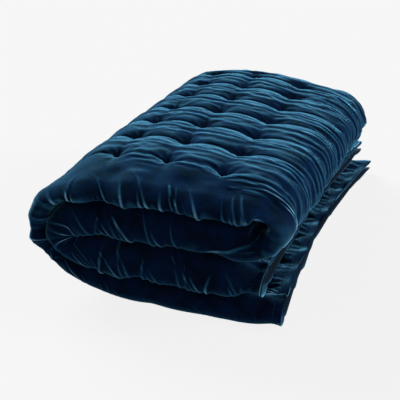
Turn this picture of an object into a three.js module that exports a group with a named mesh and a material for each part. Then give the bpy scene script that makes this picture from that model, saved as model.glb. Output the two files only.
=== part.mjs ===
// A velvet quilt, folded in half and then twice across, lying on a surface.
// Millimetres, +Z up. The rounded fronts of the layers face -Y, and the hems lie at the back and right.
import * as THREE from 'three';

// The folded bundle.
const DEPTH = 700; // front faces to back hem
const NOSE_DEPTH = 26; // how far each rounded front face reaches back
const NOSE_STEPS = 6;
const NOSE_BLUNTNESS = 0.65; // 1 is an ellipse, less is blunter
const NOSE_SAG = 1.5; // 1 bulges evenly, more bulges lower down
const SHEET_GAP = 2; // between the two thicknesses of one layer
const INSIDE_DEPTHS = [480, 340, 200, 90]; // where the hidden faces of that gap have points

// The four layers, each the doubled quilt. level is the height of its middle, and half the distance from
// there to its face. left and right are the ends of its straight run, tuftX the place of one tuft column
// along it, and setback how far its front lies behind the foremost one.
const LAYERS = {
  bottom: { level: 19, half: 20.5, left: 83, right: 393, tuftX: 113.6, setback: 4 },
  top: { level: 180.5, half: 25.5, left: 83, right: 340, tuftX: 113.6, setback: 0 },
  second: { level: 126, half: 26, left: 81, right: 340, tuftX: 102, setback: 3 },
  third: { level: 68.5, half: 28, left: 81, right: 365, tuftX: 82, setback: 0 },
};

// The three folds between layers. width is how far the middle of the strip bulges past the straight run.
// outerHalf and innerHalf are the thickness on the outside and inside at the crown of the fold, and
// tuftSteps says on which of its steps the tuft columns lie.
const FOLDS = {
  outerLeft: { width: 67, outerHalf: 15, innerHalf: 13, steps: 12, tuftSteps: [2, 6, 10] },
  right: { width: 28, outerHalf: 25, innerHalf: 23, steps: 9, tuftSteps: [2, 8] },
  innerLeft: { width: 27, outerHalf: 22, innerHalf: 24, steps: 7, tuftSteps: [] },
};

// Quilting: tufts in a grid, joined along each row by a shallow groove.
const COLUMN_PITCH = 84;
const ROW_PITCH = 90;
const FIRST_ROW = 97; // from the front faces
const ROWS = 7;
const FULL_HALF = 25; // half a layer's thickness that takes the whole depth of the quilting
const TUFT_DEPTH = 9;
const TUFT_RADIUS = 22;
const GROOVE_DEPTH = 4;
const GROOVE_RADIUS = 16;
const ROW_SKEW = 0.115; // the rows run this much forward for each millimetre to the right
const SAMPLES_PER_PITCH = 3;
const LEAST_STEP = 9; // no two points along a layer are closer than this

// The turned hem round the quilt's rim.
const HEM_WIDTH = 13;
const HEM_HALF = 2.5; // half its thickness
const PADDING_RUN = 55; // from the hem to full thickness
const HEM_OFFSET_FRONT = 16; // between the hem and the middle of the layer, at the front and back
const HEM_OFFSET_BACK = 9;

// How the soft bundle leaves its even stacking.
const PINCH = 0.46; // the left side squeezed towards its mid-height
const PINCH_REACH = 160;
const PINCH_LEVEL = 102;
const LIFT = 24; // and the underside raised there
const LIFT_REACH = 170;
const LIFT_REACH_FRONT = 270;
const LIFT_FRONT_DEPTH = 120;
const CROWN = 0.04; // the middle stands higher
const CROWN_SPAN = 360;
const DROOP = 0.27; // the back right corner sinks
const DROOP_START = 220;
const DROOP_SPAN = 200;
const REACH_START = 200; // right of here the ends and the right fold spread towards the back
const REACH_SPAN = 190;

// The spread to the right at the back, and the hollow between front and back, for a height.
const REACHES = [
  { height: 19, spread: 46, power: 3, hollow: 8 },
  { height: 68.5, spread: 56, power: 1.6, hollow: 0 },
  { height: 126, spread: 38, power: 0.6, hollow: 0 },
];

const clamp = THREE.MathUtils.clamp;
const lerp = THREE.MathUtils.lerp;
const smoothstep = THREE.MathUtils.smoothstep;

/** Stations along a layer's straight run, on the tuft columns and evenly between them. */
function straightStations(layer, rightwards) {
  const step = COLUMN_PITCH / SAMPLES_PER_PITCH;
  const places = [{ x: layer.left, isTuft: false }];
  const first = Math.ceil((layer.left + LEAST_STEP - layer.tuftX) / step);
  for (let k = first; layer.tuftX + k * step < layer.right - LEAST_STEP; k += 1) {
    places.push({ x: layer.tuftX + k * step, isTuft: k % SAMPLES_PER_PITCH === 0 });
  }
  places.push({ x: layer.right, isTuft: false });
  const stations = places.map((place) => ({
    ...place,
    z: layer.level,
    normal: new THREE.Vector2(0, rightwards ? 1 : -1),
    upperHalf: layer.half,
    lowerHalf: layer.half,
    setback: layer.setback,
  }));
  return rightwards ? stations : stations.reverse();
}

/** Stations round a fold from one layer to the next; bulge is -1 to the left and 1 to the right. */
function foldStations(fold, from, to, bulge) {
  const side = bulge > 0 ? 'right' : 'left';
  const turn = Math.sign(from.level - to.level) * bulge;
  const stations = [];
  for (let k = 1; k < fold.steps; k += 1) {
    const angle = (Math.PI * k) / fold.steps;
    const crown = Math.sin(angle);
    const share = (1 - Math.cos(angle)) / 2;
    const height = (from.level - to.level) / 2;
    const normal = new THREE.Vector2(
      bulge * Math.abs(height) * crown,
      Math.sign(height) * fold.width * Math.cos(angle),
    ).normalize();
    const plainHalf = lerp(from.half, to.half, share);
    const outerHalf = lerp(plainHalf, fold.outerHalf, crown);
    const innerHalf = lerp(plainHalf, fold.innerHalf, crown);
    stations.push({
      x: lerp(from[side], to[side], share) + bulge * fold.width * crown,
      z: (from.level + to.level) / 2 + height * Math.cos(angle),
      normal: normal.multiplyScalar(turn),
      upperHalf: turn > 0 ? outerHalf : innerHalf,
      lowerHalf: turn > 0 ? innerHalf : outerHalf,
      setback: lerp(from.setback, to.setback, share),
      isTuft: fold.tuftSteps.includes(k),
    });
  }
  return stations;
}

/** Splits the ends of the path so that the hem and the padding behind it have their own stations. */
function withHemStations(stations) {
  const end = stations[stations.length - 1];
  const direction = Math.sign(end.x - stations[stations.length - 2].x);
  const kept = stations.filter(
    (s) => s === end || Math.abs(end.x - s.x) > HEM_WIDTH + LEAST_STEP || s.z !== end.z,
  );
  const hem = { ...end, x: end.x - direction * HEM_WIDTH, isTuft: false };
  return [...kept.slice(0, -1), hem, end];
}

/** The whole path of the doubled strip, from the bottom layer's free end to the third layer's. */
function pathStations() {
  const { bottom, top, second, third } = LAYERS;
  const path = [
    ...straightStations(bottom, false),
    ...foldStations(FOLDS.outerLeft, bottom, top, -1),
    ...straightStations(top, true),
    ...foldStations(FOLDS.right, top, second, 1),
    ...straightStations(second, false),
    ...foldStations(FOLDS.innerLeft, second, third, -1),
    ...straightStations(third, true),
  ];
  const stations = withHemStations(withHemStations(path).reverse()).reverse();
  let length = 0;
  stations.forEach((station, k) => {
    const previous = stations[Math.max(0, k - 1)];
    length += Math.hypot(station.x - previous.x, station.z - previous.z);
    station.along = length;
  });
  const tufts = stations.filter((station) => station.isTuft).map((station) => station.along);
  stations.forEach((station) => {
    station.toEnd = Math.min(station.along, length - station.along);
    station.toTuft = Math.min(...tufts.map((at) => Math.abs(station.along - at)));
  });
  return stations;
}

/** Depths, back to front, at which a face of the strip has points. */
function depthsOf(samplesPerPitch) {
  const depths = [DEPTH, DEPTH - HEM_WIDTH, DEPTH - HEM_WIDTH - PADDING_RUN / 2];
  const step = ROW_PITCH / samplesPerPitch;
  for (let depth = FIRST_ROW + (ROWS - 1) * ROW_PITCH; depth > NOSE_DEPTH + LEAST_STEP; depth -= step) {
    depths.push(depth);
  }
  return [...depths, NOSE_DEPTH];
}

/** How far the padding has grown to full thickness, 0 on the hem and 1 inside. */
function padding(distanceToRim) {
  return Math.sqrt(smoothstep(distanceToRim, HEM_WIDTH, HEM_WIDTH + PADDING_RUN));
}

/** How far quilting draws a face in at a station and depth, less where the padding is squeezed. */
function quilting(station, depth, half) {
  const row = clamp(Math.round((depth - FIRST_ROW) / ROW_PITCH), 0, ROWS - 1);
  const toRow = depth - FIRST_ROW - row * ROW_PITCH;
  const groove = Math.exp(-((toRow / GROOVE_RADIUS) ** 2));
  const tuft = Math.exp(-(toRow ** 2 + station.toTuft ** 2) / TUFT_RADIUS ** 2);
  return (GROOVE_DEPTH * groove + TUFT_DEPTH * tuft) * Math.min(1, half / FULL_HALF);
}

/** Distance of a face from the middle of its layer, on the outside or the inside of one thickness. */
function faceOffset(station, depth, half, outside) {
  const grown = padding(DEPTH - depth) * padding(station.toEnd);
  const hemMiddle = lerp(HEM_OFFSET_FRONT, HEM_OFFSET_BACK, depth / DEPTH);
  if (outside) {
    return lerp(hemMiddle + HEM_HALF, half - quilting(station, depth, half), grown);
  }
  return lerp(hemMiddle - HEM_HALF, SHEET_GAP / 2, grown);
}

/**
 * The outside and inside of one section of the strip, from the upper back hem round the front to the
 * lower back hem, as [depth, offset] pairs.
 */
function sectionOf(station) {
  const sides = [
    { sign: 1, half: station.upperHalf, depths: depthsOf(SAMPLES_PER_PITCH) },
    { sign: -1, half: station.lowerHalf, depths: depthsOf(SAMPLES_PER_PITCH - 1) },
  ];
  const insideDepths = [DEPTH, DEPTH - HEM_WIDTH, DEPTH - HEM_WIDTH - PADDING_RUN, ...INSIDE_DEPTHS];
  const wall = lerp(2 * HEM_HALF, NOSE_DEPTH - SHEET_GAP, padding(station.toEnd));
  const [upper, lower] = sides.map(({ sign, half, depths }) =>
    depths.map((depth) => [depth, sign * faceOffset(station, depth, half, true)]),
  );
  const [upperInside, lowerInside] = sides.map(({ sign, half }) =>
    insideDepths.map((depth) => [depth, sign * faceOffset(station, depth, half, false)]),
  );
  const nose = [];
  for (let k = 1; k < NOSE_STEPS; k += 1) {
    const share = k / NOSE_STEPS;
    const angle = Math.PI * share;
    const height = share <= 0.5 ? upper[upper.length - 1][1] : -lower[lower.length - 1][1];
    const sagged = lerp(1 - (1 - share) ** NOSE_SAG, share ** NOSE_SAG, (1 + station.normal.y) / 2);
    const bulge = NOSE_DEPTH * Math.sin(Math.PI * sagged) ** NOSE_BLUNTNESS;
    nose.push([NOSE_DEPTH - bulge, height * Math.cos(angle)]);
  }
  return {
    outside: [...upper, ...nose, ...lower.reverse()],
    inside: [...upperInside, [wall, 0], ...lowerInside.reverse()],
  };
}

/** The spread of the right side at a height and depth. */
function reachAt(height, depth) {
  const back = clamp(depth / DEPTH, 0, 1);
  const reaches = REACHES.map(
    ({ spread, power, hollow }) => spread * back ** power - hollow * Math.sin(Math.PI * back),
  );
  const lowerShare = smoothstep(height, REACHES[0].height, REACHES[1].height);
  const upperShare = smoothstep(height, REACHES[1].height, REACHES[2].height);
  return lerp(lerp(reaches[0], reaches[1], lowerShare), reaches[2], upperShare);
}

/** Moves a point of the even stack to its place in the soft, settled bundle. */
function settle(point) {
  const depth = clamp(point.y / DEPTH, 0, 1);
  const pinch = PINCH * Math.max(0, 1 - point.x / PINCH_REACH) ** 2;
  const crown = CROWN * Math.sin(Math.PI * clamp(point.x / CROWN_SPAN, 0, 1)) ** 2;
  const corner = Math.max(0, (point.x - DROOP_START) / DROOP_SPAN);
  const droop = DROOP * corner ** 1.5 * depth ** 2;
  const reach = reachAt(point.z, point.y) * smoothstep(point.x, REACH_START, REACH_START + REACH_SPAN);
  const liftReach = lerp(LIFT_REACH_FRONT, LIFT_REACH, smoothstep(point.y, 0, LIFT_FRONT_DEPTH));
  const under = Math.max(0, 1 - point.z / PINCH_LEVEL);
  const lift = LIFT * Math.max(0, 1 - point.x / liftReach) ** 2 * under;
  const level = lerp(point.z, PINCH_LEVEL, pinch) + lift;
  return new THREE.Vector3(point.x + reach, point.y, Math.max(0, level * (1 + crown) * (1 - droop)));
}

/** The depth with the tuft rows turned a little to the front faces, which stay straight. */
function skewed(depth, x) {
  const free = smoothstep(depth, NOSE_DEPTH, FIRST_ROW) * smoothstep(DEPTH - depth, 0, FIRST_ROW);
  return depth - ROW_SKEW * (x - LAYERS.top.tuftX) * free;
}

/** Triangles across one end of the strip, zipped between its outside and inside, by point number. */
function endTriangles({ outside, inside }) {
  const travel = ([depth, offset]) => (offset < 0 ? depth : -depth);
  const insideNumber = (k) => outside.length + inside.length - 1 - k;
  const triangles = [];
  let [i, k] = [0, 0];
  while (i + 1 < outside.length || k + 1 < inside.length) {
    const outsideIsNext =
      k + 1 === inside.length ||
      (i + 1 < outside.length && travel(outside[i + 1]) <= travel(inside[k + 1]));
    const third = outsideIsNext ? i + 1 : insideNumber(k + 1);
    triangles.push([i, third, insideNumber(k)]);
    i += outsideIsNext ? 1 : 0;
    k += outsideIsNext ? 0 : 1;
  }
  return triangles;
}

/** A closed mesh from rings of equal point counts, with the triangles that close its two ends. */
function meshOfRings(rings, firstEnd, lastEnd) {
  const count = rings[0].length;
  const lastRing = (rings.length - 1) * count;
  const indices = [];
  for (let i = 0; i + 1 < rings.length; i += 1) {
    for (let k = 0; k < count; k += 1) {
      const next = (k + 1) % count;
      const [a, b] = [i * count + k, i * count + next];
      const [c, d] = [a + count, b + count];
      indices.push(a, b, d, a, d, c);
    }
  }
  firstEnd.forEach(([a, b, c]) => indices.push(a, c, b));
  lastEnd.forEach(([a, b, c]) => indices.push(lastRing + a, lastRing + b, lastRing + c));
  const positions = rings.flat().flatMap((point) => point.toArray());
  const geometry = new THREE.BufferGeometry();
  geometry.setAttribute('position', new THREE.Float32BufferAttribute(positions, 3));
  geometry.setIndex(indices);
  return geometry;
}

/** The folded quilt, centred over the origin and standing on Z = 0. */
function quiltGeometry() {
  const stations = pathStations();
  const sections = stations.map(sectionOf);
  const rings = stations.map((station, i) =>
    [...sections[i].outside, ...sections[i].inside.toReversed()].map(([depth, offset]) => {
      const x = station.x + station.normal.x * offset;
      const z = station.z + station.normal.y * offset;
      const front = station.setback * (1 - clamp(depth / FIRST_ROW, 0, 1));
      return settle(new THREE.Vector3(x, skewed(depth, x) + front, z));
    }),
  );
  const ends = [sections[0], sections[sections.length - 1]].map(endTriangles);
  const geometry = meshOfRings(rings, ...ends);
  geometry.computeBoundingBox();
  const middle = geometry.boundingBox.getCenter(new THREE.Vector3());
  geometry.translate(-middle.x, -middle.y, -geometry.boundingBox.min.z);
  return geometry;
}

const velvet = new THREE.MeshStandardMaterial({ color: '#123c55', roughness: 0.9, metalness: 0 });
const quilt = new THREE.Mesh(quiltGeometry(), velvet);
quilt.name = 'quilt';

const foldedQuilt = new THREE.Group();
foldedQuilt.add(quilt);

export default foldedQuilt;
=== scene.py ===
"""A dark teal velvet quilt, folded in half and then twice across, dressed for its render.

The shape repeats the named sizes of the CAD source, in millimetres, on a mesh fine enough for the soft
wrinkles of the velvet. Blender's own unit is the metre, so points are scaled once, when a mesh is made.
"""

import logging
import math
import time
from dataclasses import dataclass, field
from enum import Enum

import bpy
import numpy as np
from mathutils import Matrix, Vector

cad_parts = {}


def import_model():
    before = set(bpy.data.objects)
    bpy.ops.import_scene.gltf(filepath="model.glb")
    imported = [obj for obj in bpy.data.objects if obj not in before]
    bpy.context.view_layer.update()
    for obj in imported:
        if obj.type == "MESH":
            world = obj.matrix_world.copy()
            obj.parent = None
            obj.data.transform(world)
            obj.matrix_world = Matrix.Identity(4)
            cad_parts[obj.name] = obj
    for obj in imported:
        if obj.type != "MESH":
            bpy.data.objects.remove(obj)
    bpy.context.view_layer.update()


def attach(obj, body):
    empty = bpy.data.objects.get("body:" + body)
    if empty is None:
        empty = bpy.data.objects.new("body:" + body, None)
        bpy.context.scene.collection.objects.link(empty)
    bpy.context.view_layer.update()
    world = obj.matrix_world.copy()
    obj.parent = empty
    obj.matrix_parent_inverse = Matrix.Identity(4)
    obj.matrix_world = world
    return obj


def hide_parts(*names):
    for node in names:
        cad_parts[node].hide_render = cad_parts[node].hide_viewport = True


LOG = logging.getLogger("quilt")
MM = 0.001
Span = tuple[float, float]


class Facing(Enum):
    """Which way a layer's path runs or a fold bulges."""

    LEFTWARDS = -1
    RIGHTWARDS = 1


class Sheet(Enum):
    """Which thickness of a doubled layer; the values set their hems' waves apart."""

    UPPER = 1.0
    LOWER = 2.6


@dataclass(frozen=True)
class Layer:
    """One doubled layer of the bundle, in millimetres."""

    level: float
    half: float
    left: float
    right: float
    tuft_x: float
    setback: float


@dataclass(frozen=True)
class Fold:
    """A fold between two layers, in millimetres; tuft_shares is where round it the tufts lie, 0 to 1."""

    width: float
    outer_half: float
    inner_half: float
    tuft_shares: tuple[float, ...] = ()


def smoothstep(value: np.ndarray, low: float, high: float) -> np.ndarray:
    """Returns 0 below low and 1 above high, with a smooth rise between."""
    share = np.clip((value - low) / (high - low), 0.0, 1.0)
    return share * share * (3.0 - 2.0 * share)


def lerp(start: np.ndarray, end: np.ndarray, share: np.ndarray) -> np.ndarray:
    """Returns the value a share of the way from start to end."""
    return start + (end - start) * share


def window(value: np.ndarray, rise: Span, fall: Span) -> np.ndarray:
    """Returns 1 between the rise and the fall and 0 outside them, with a smooth change over each."""
    return smoothstep(value, *rise) * (1 - smoothstep(value, *fall))


def travelled(steps: np.ndarray) -> np.ndarray:
    """Returns the length gone at each point of a line, from the lengths of its steps."""
    return np.concatenate([[0.0], np.cumsum(steps)])


def linear(code: str, alpha: float = 1.0) -> tuple[float, float, float, float]:
    """Turns an sRGB hex colour to linear values.

    Args:
        code: six hex digits, with or without a leading hash.
        alpha: the opacity.

    Returns:
        The linear red, green, blue and alpha.
    """
    digits = code.lstrip("#")
    values = [int(digits[k : k + 2], 16) / 255.0 for k in (0, 2, 4)]
    light = [v / 12.92 if v <= 0.04045 else ((v + 0.055) / 1.055) ** 2.4 for v in values]
    return (*light, alpha)


def add_node(tree: bpy.types.NodeTree, kind: str, settings: dict | None = None, **inputs) -> bpy.types.Node:
    """Adds a node with its settings and links.

    Args:
        tree: the node tree that the node goes into.
        kind: the node's type name.
        settings: properties of the node.
        inputs: a value or an output socket for each input; spaces in a name are written as underscores,
            and in_0 means the input's number.

    Returns:
        The new node.
    """
    node = tree.nodes.new(kind)
    for name, value in (settings or {}).items():
        setattr(node, name, value)
    for name, value in inputs.items():
        socket = node.inputs[int(name[3:]) if name.startswith("in_") else name.replace("_", " ")]
        if isinstance(value, bpy.types.NodeSocket):
            tree.links.new(value, socket)
        else:
            socket.default_value = value
    return node


def blank_nodes(owner: bpy.types.ID) -> bpy.types.NodeTree:
    """Returns the node tree of a new material or world, emptied."""
    owner.use_nodes = True
    owner.node_tree.nodes.clear()
    return owner.node_tree


def new_object(name: str, data: bpy.types.ID) -> bpy.types.Object:
    """Returns a new object of the scene, made of a mesh, a light or a camera."""
    piece = bpy.data.objects.new(name, data)
    bpy.context.scene.collection.objects.link(piece)
    return piece


def mesh_object(name: str, points: np.ndarray, faces: list[np.ndarray]) -> bpy.types.Object:
    """Makes a smooth-shaded mesh object.

    Args:
        name: the object's name.
        points: its vertices, in millimetres.
        faces: arrays of faces, each with one row of vertex numbers a face.

    Returns:
        The object, linked to the scene.
    """
    mesh = bpy.data.meshes.new(name)
    counts = np.concatenate([np.full(len(part), part.shape[1], dtype=np.int32) for part in faces])
    corners = np.concatenate([part.ravel() for part in faces]).astype(np.int32)
    mesh.vertices.add(len(points))
    mesh.vertices.foreach_set("co", (points * MM).astype(np.float32).ravel())
    mesh.loops.add(len(corners))
    mesh.loops.foreach_set("vertex_index", corners)
    mesh.polygons.add(len(counts))
    mesh.polygons.foreach_set("loop_start", np.concatenate([[0], np.cumsum(counts)[:-1]]).astype(np.int32))
    mesh.polygons.foreach_set("use_smooth", np.ones(len(counts), dtype=bool))
    mesh.update(calc_edges=True)
    mesh.validate()
    return new_object(name, mesh)


def grid_quads(rings: int, count: int, closed: bool) -> np.ndarray:
    """Makes the faces of a grid of points.

    Args:
        rings: the number of its rows.
        count: the number of points in a row.
        closed: whether each row's last point is joined to its first.

    Returns:
        One row of four vertex numbers a face.
    """
    number = np.arange(rings * count).reshape(rings, count)
    following = np.roll(number, -1, axis=1)
    quads = np.stack([number[:-1], following[:-1], following[1:], number[1:]], axis=-1)
    return (quads if closed else quads[:, :-1]).reshape(-1, 4)


def normals(points: np.ndarray) -> np.ndarray:
    """Returns the outward unit normals of the outside's grid of points."""
    normal = np.cross(np.gradient(points, axis=0), np.gradient(points, axis=1))
    return -normal / np.maximum(np.linalg.norm(normal, axis=-1, keepdims=True), 1e-9)


def refined(values: np.ndarray) -> np.ndarray:
    """Puts a row between each two rows of a grid, on a smooth curve through their neighbours."""
    padded = np.concatenate([2 * values[:1] - values[1:2], values, 2 * values[-1:] - values[-2:-1]])
    between = (9 * (padded[1:-2] + padded[2:-1]) - padded[:-3] - padded[3:]) / 16
    result = np.empty((2 * len(values) - 1, *values.shape[1:]))
    result[::2] = values
    result[1::2] = between
    return result


@dataclass
class Strip:
    """The path of the doubled quilt through the bundle, as even stations from end to end."""

    step: float = 2.0
    column_pitch: float = 84.0
    most_columns: int = 6
    least_step: float = 9.0
    bottom: Layer = Layer(19.0, 20.5, 83.0, 393.0, 113.6, 9.0)
    top: Layer = Layer(180.5, 25.5, 83.0, 340.0, 113.6, 0.0)
    second: Layer = Layer(126.0, 26.0, 81.0, 340.0, 102.0, 3.0)
    third: Layer = Layer(68.5, 28.0, 81.0, 365.0, 82.0, 0.0)
    outer_left: Fold = Fold(67.0, 15.0, 13.0, (2 / 12, 6 / 12, 10 / 12))
    right: Fold = Fold(28.0, 25.0, 23.0, (2 / 9, 8 / 9))
    inner_left: Fold = Fold(27.0, 22.0, 24.0)
    columns: dict[str, np.ndarray] = field(default_factory=dict)
    tufts: list[float] = field(default_factory=list)
    hole_at: float = 0.0

    def straight(self, layer: Layer, facing: Facing) -> tuple[np.ndarray, list[float]]:
        """Stations along a layer's straight run.

        Args:
            layer: the layer.
            facing: which way the path runs.

        Returns:
            Rows of x, z, normal x, normal z, upper half, lower half and setback, and the places of the
            tuft columns from the run's start.
        """
        length = layer.right - layer.left
        even = (layer.level, 0.0, facing.value, layer.half, layer.half, layer.setback)
        stations = np.linspace(layer.left, layer.right, round(length / self.step) + 1)
        rows = np.array([(x, *even) for x in stations])
        first = math.ceil((layer.left + self.least_step - layer.tuft_x) / self.column_pitch)
        places = [layer.tuft_x + k * self.column_pitch for k in range(first, first + self.most_columns)]
        places = [place - layer.left for place in places if place < layer.right - self.least_step]
        if facing is Facing.LEFTWARDS:
            return rows[::-1], [length - place for place in reversed(places)]
        return rows, places

    def fold(self, fold: Fold, start: Layer, end: Layer, bulge: Facing) -> tuple[np.ndarray, list[float]]:
        """Stations round a fold.

        Args:
            fold: the fold.
            start: the layer it comes from.
            end: the layer it goes to.
            bulge: the side that it bulges to.

        Returns:
            Rows as for a straight run, and the places of the tuft columns from the fold's start.
        """
        height = (start.level - end.level) / 2
        upward, side = math.copysign(1.0, height), bulge.value
        girth = math.pi * math.sqrt((height**2 + fold.width**2) / 2)
        angle = np.linspace(0.0, math.pi, round(girth / self.step) + 1)
        crown, share = np.sin(angle), (1 - np.cos(angle)) / 2
        normal = np.stack([side * abs(height) * crown, upward * fold.width * np.cos(angle)], axis=1)
        normal *= upward * side / np.linalg.norm(normal, axis=1, keepdims=True)
        plain = lerp(start.half, end.half, share)
        halves = [lerp(plain, fold.outer_half, crown), lerp(plain, fold.inner_half, crown)]
        upper, lower = halves if upward * side > 0 else reversed(halves)
        first_x, last_x = (start.right, end.right) if side > 0 else (start.left, end.left)
        x = lerp(first_x, last_x, share) + side * fold.width * crown
        z = (start.level + end.level) / 2 + height * np.cos(angle)
        setback = lerp(start.setback, end.setback, share)
        rows = np.stack([x, z, normal[:, 0], normal[:, 1], upper, lower, setback], axis=1)
        gone = travelled(np.hypot(np.diff(x), np.diff(z)))
        return rows, [float(np.interp(part * math.pi, angle, gone)) for part in fold.tuft_shares]

    def lay(self) -> None:
        """Lays the whole path out, from the bottom layer's free end to the third layer's."""
        curl = self.fold(self.right, self.top, self.second, Facing.RIGHTWARDS)
        runs = [
            self.straight(self.bottom, Facing.LEFTWARDS),
            self.fold(self.outer_left, self.bottom, self.top, Facing.LEFTWARDS),
            self.straight(self.top, Facing.RIGHTWARDS),
            curl,
            self.straight(self.second, Facing.LEFTWARDS),
            self.fold(self.inner_left, self.second, self.third, Facing.LEFTWARDS),
            self.straight(self.third, Facing.RIGHTWARDS),
        ]
        rows = np.concatenate([runs[0][0]] + [run[1:] for run, _ in runs[1:]])
        along = travelled(np.hypot(np.diff(rows[:, 0]), np.diff(rows[:, 1])))
        start = 0.0
        for run, places in runs:
            self.tufts += [start + place for place in places]
            length = float(np.sum(np.hypot(np.diff(run[:, 0]), np.diff(run[:, 1]))))
            if run is curl[0]:
                self.hole_at = start + length / 2
            start += length
        even = np.linspace(0.0, along[-1], 2 * round(along[-1] / self.step / 2) + 1)
        names = ("x", "z", "normal_x", "normal_z", "upper", "lower", "setback")
        self.columns = {name: np.interp(even, along, rows[:, k])[:, None] for k, name in enumerate(names)}
        self.columns["along"] = even[:, None]
        self.columns["to_end"] = np.minimum(even, along[-1] - even)[:, None]
        self.columns["to_tuft"] = np.abs(even[:, None] - np.array(self.tufts)).min(axis=1)[:, None]
        self.columns["upright"] = (1 + self.columns["normal_z"]) / 2


@dataclass
class Settling:
    """How the soft bundle leaves its even stacking, in millimetres."""

    depth: float = 700.0
    pinch_above: float = 0.2
    pinch_below: float = 0.46
    pinch_span: Span = (55.0, 150.0)
    pinch_reach: float = 160.0
    pinch_level: float = 102.0
    lift: float = 21.0
    lift_reach_back: float = 170.0
    lift_reach_front: float = 340.0
    lift_front_depth: float = 120.0
    crown: float = 0.04
    crown_span: float = 360.0
    droop: float = 0.235
    droop_power: float = 1.5
    droop_start: float = 220.0
    droop_span: float = 200.0
    reach_start: float = 200.0
    reach_span: float = 190.0
    reaches: tuple[tuple[float, float, float, float], ...] = (
        (19.0, 46.0, 3.0, 8.0),
        (68.5, 56.0, 1.6, 0.0),
        (126.0, 38.0, 0.6, 0.0),
    )

    def reach(self, height: np.ndarray, back: np.ndarray) -> np.ndarray:
        """Returns the spread of the right side at a height and a share of the depth."""
        bow = np.sin(math.pi * back)
        spreads = [spread * back**power - hollow * bow for _, spread, power, hollow in self.reaches]
        levels = [entry[0] for entry in self.reaches]
        low, high = smoothstep(height, levels[0], levels[1]), smoothstep(height, levels[1], levels[2])
        return lerp(lerp(spreads[0], spreads[1], low), spreads[2], high)

    def settle(self, x: np.ndarray, y: np.ndarray, z: np.ndarray) -> np.ndarray:
        """Moves points of the even stack to their places in the settled bundle.

        Args:
            x: places from the left.
            y: depths from the front.
            z: heights.

        Returns:
            The settled points, with one more axis for x, y and z.
        """
        back = np.clip(y / self.depth, 0.0, 1.0)
        pinch = lerp(self.pinch_below, self.pinch_above, smoothstep(z, *self.pinch_span))
        pinch = pinch * np.maximum(0.0, 1 - x / self.pinch_reach) ** 2
        crown = self.crown * np.sin(math.pi * np.clip(x / self.crown_span, 0.0, 1.0)) ** 2
        corner = np.maximum(0.0, (x - self.droop_start) / self.droop_span)
        droop = self.droop * corner**self.droop_power * back**2
        side = smoothstep(x, self.reach_start, self.reach_start + self.reach_span)
        reach = self.reach(z, back) * side
        front = smoothstep(y, 0.0, self.lift_front_depth)
        lift_reach = lerp(self.lift_reach_front, self.lift_reach_back, front)
        under = np.maximum(0.0, 1 - z / self.pinch_level)
        lift = self.lift * np.maximum(0.0, 1 - x / lift_reach) ** 2 * under
        level = lerp(z, self.pinch_level, pinch) + lift
        height = np.maximum(0.0, level * (1 + crown) * (1 - droop))
        return np.stack([x + reach, y, height], axis=-1)


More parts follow.
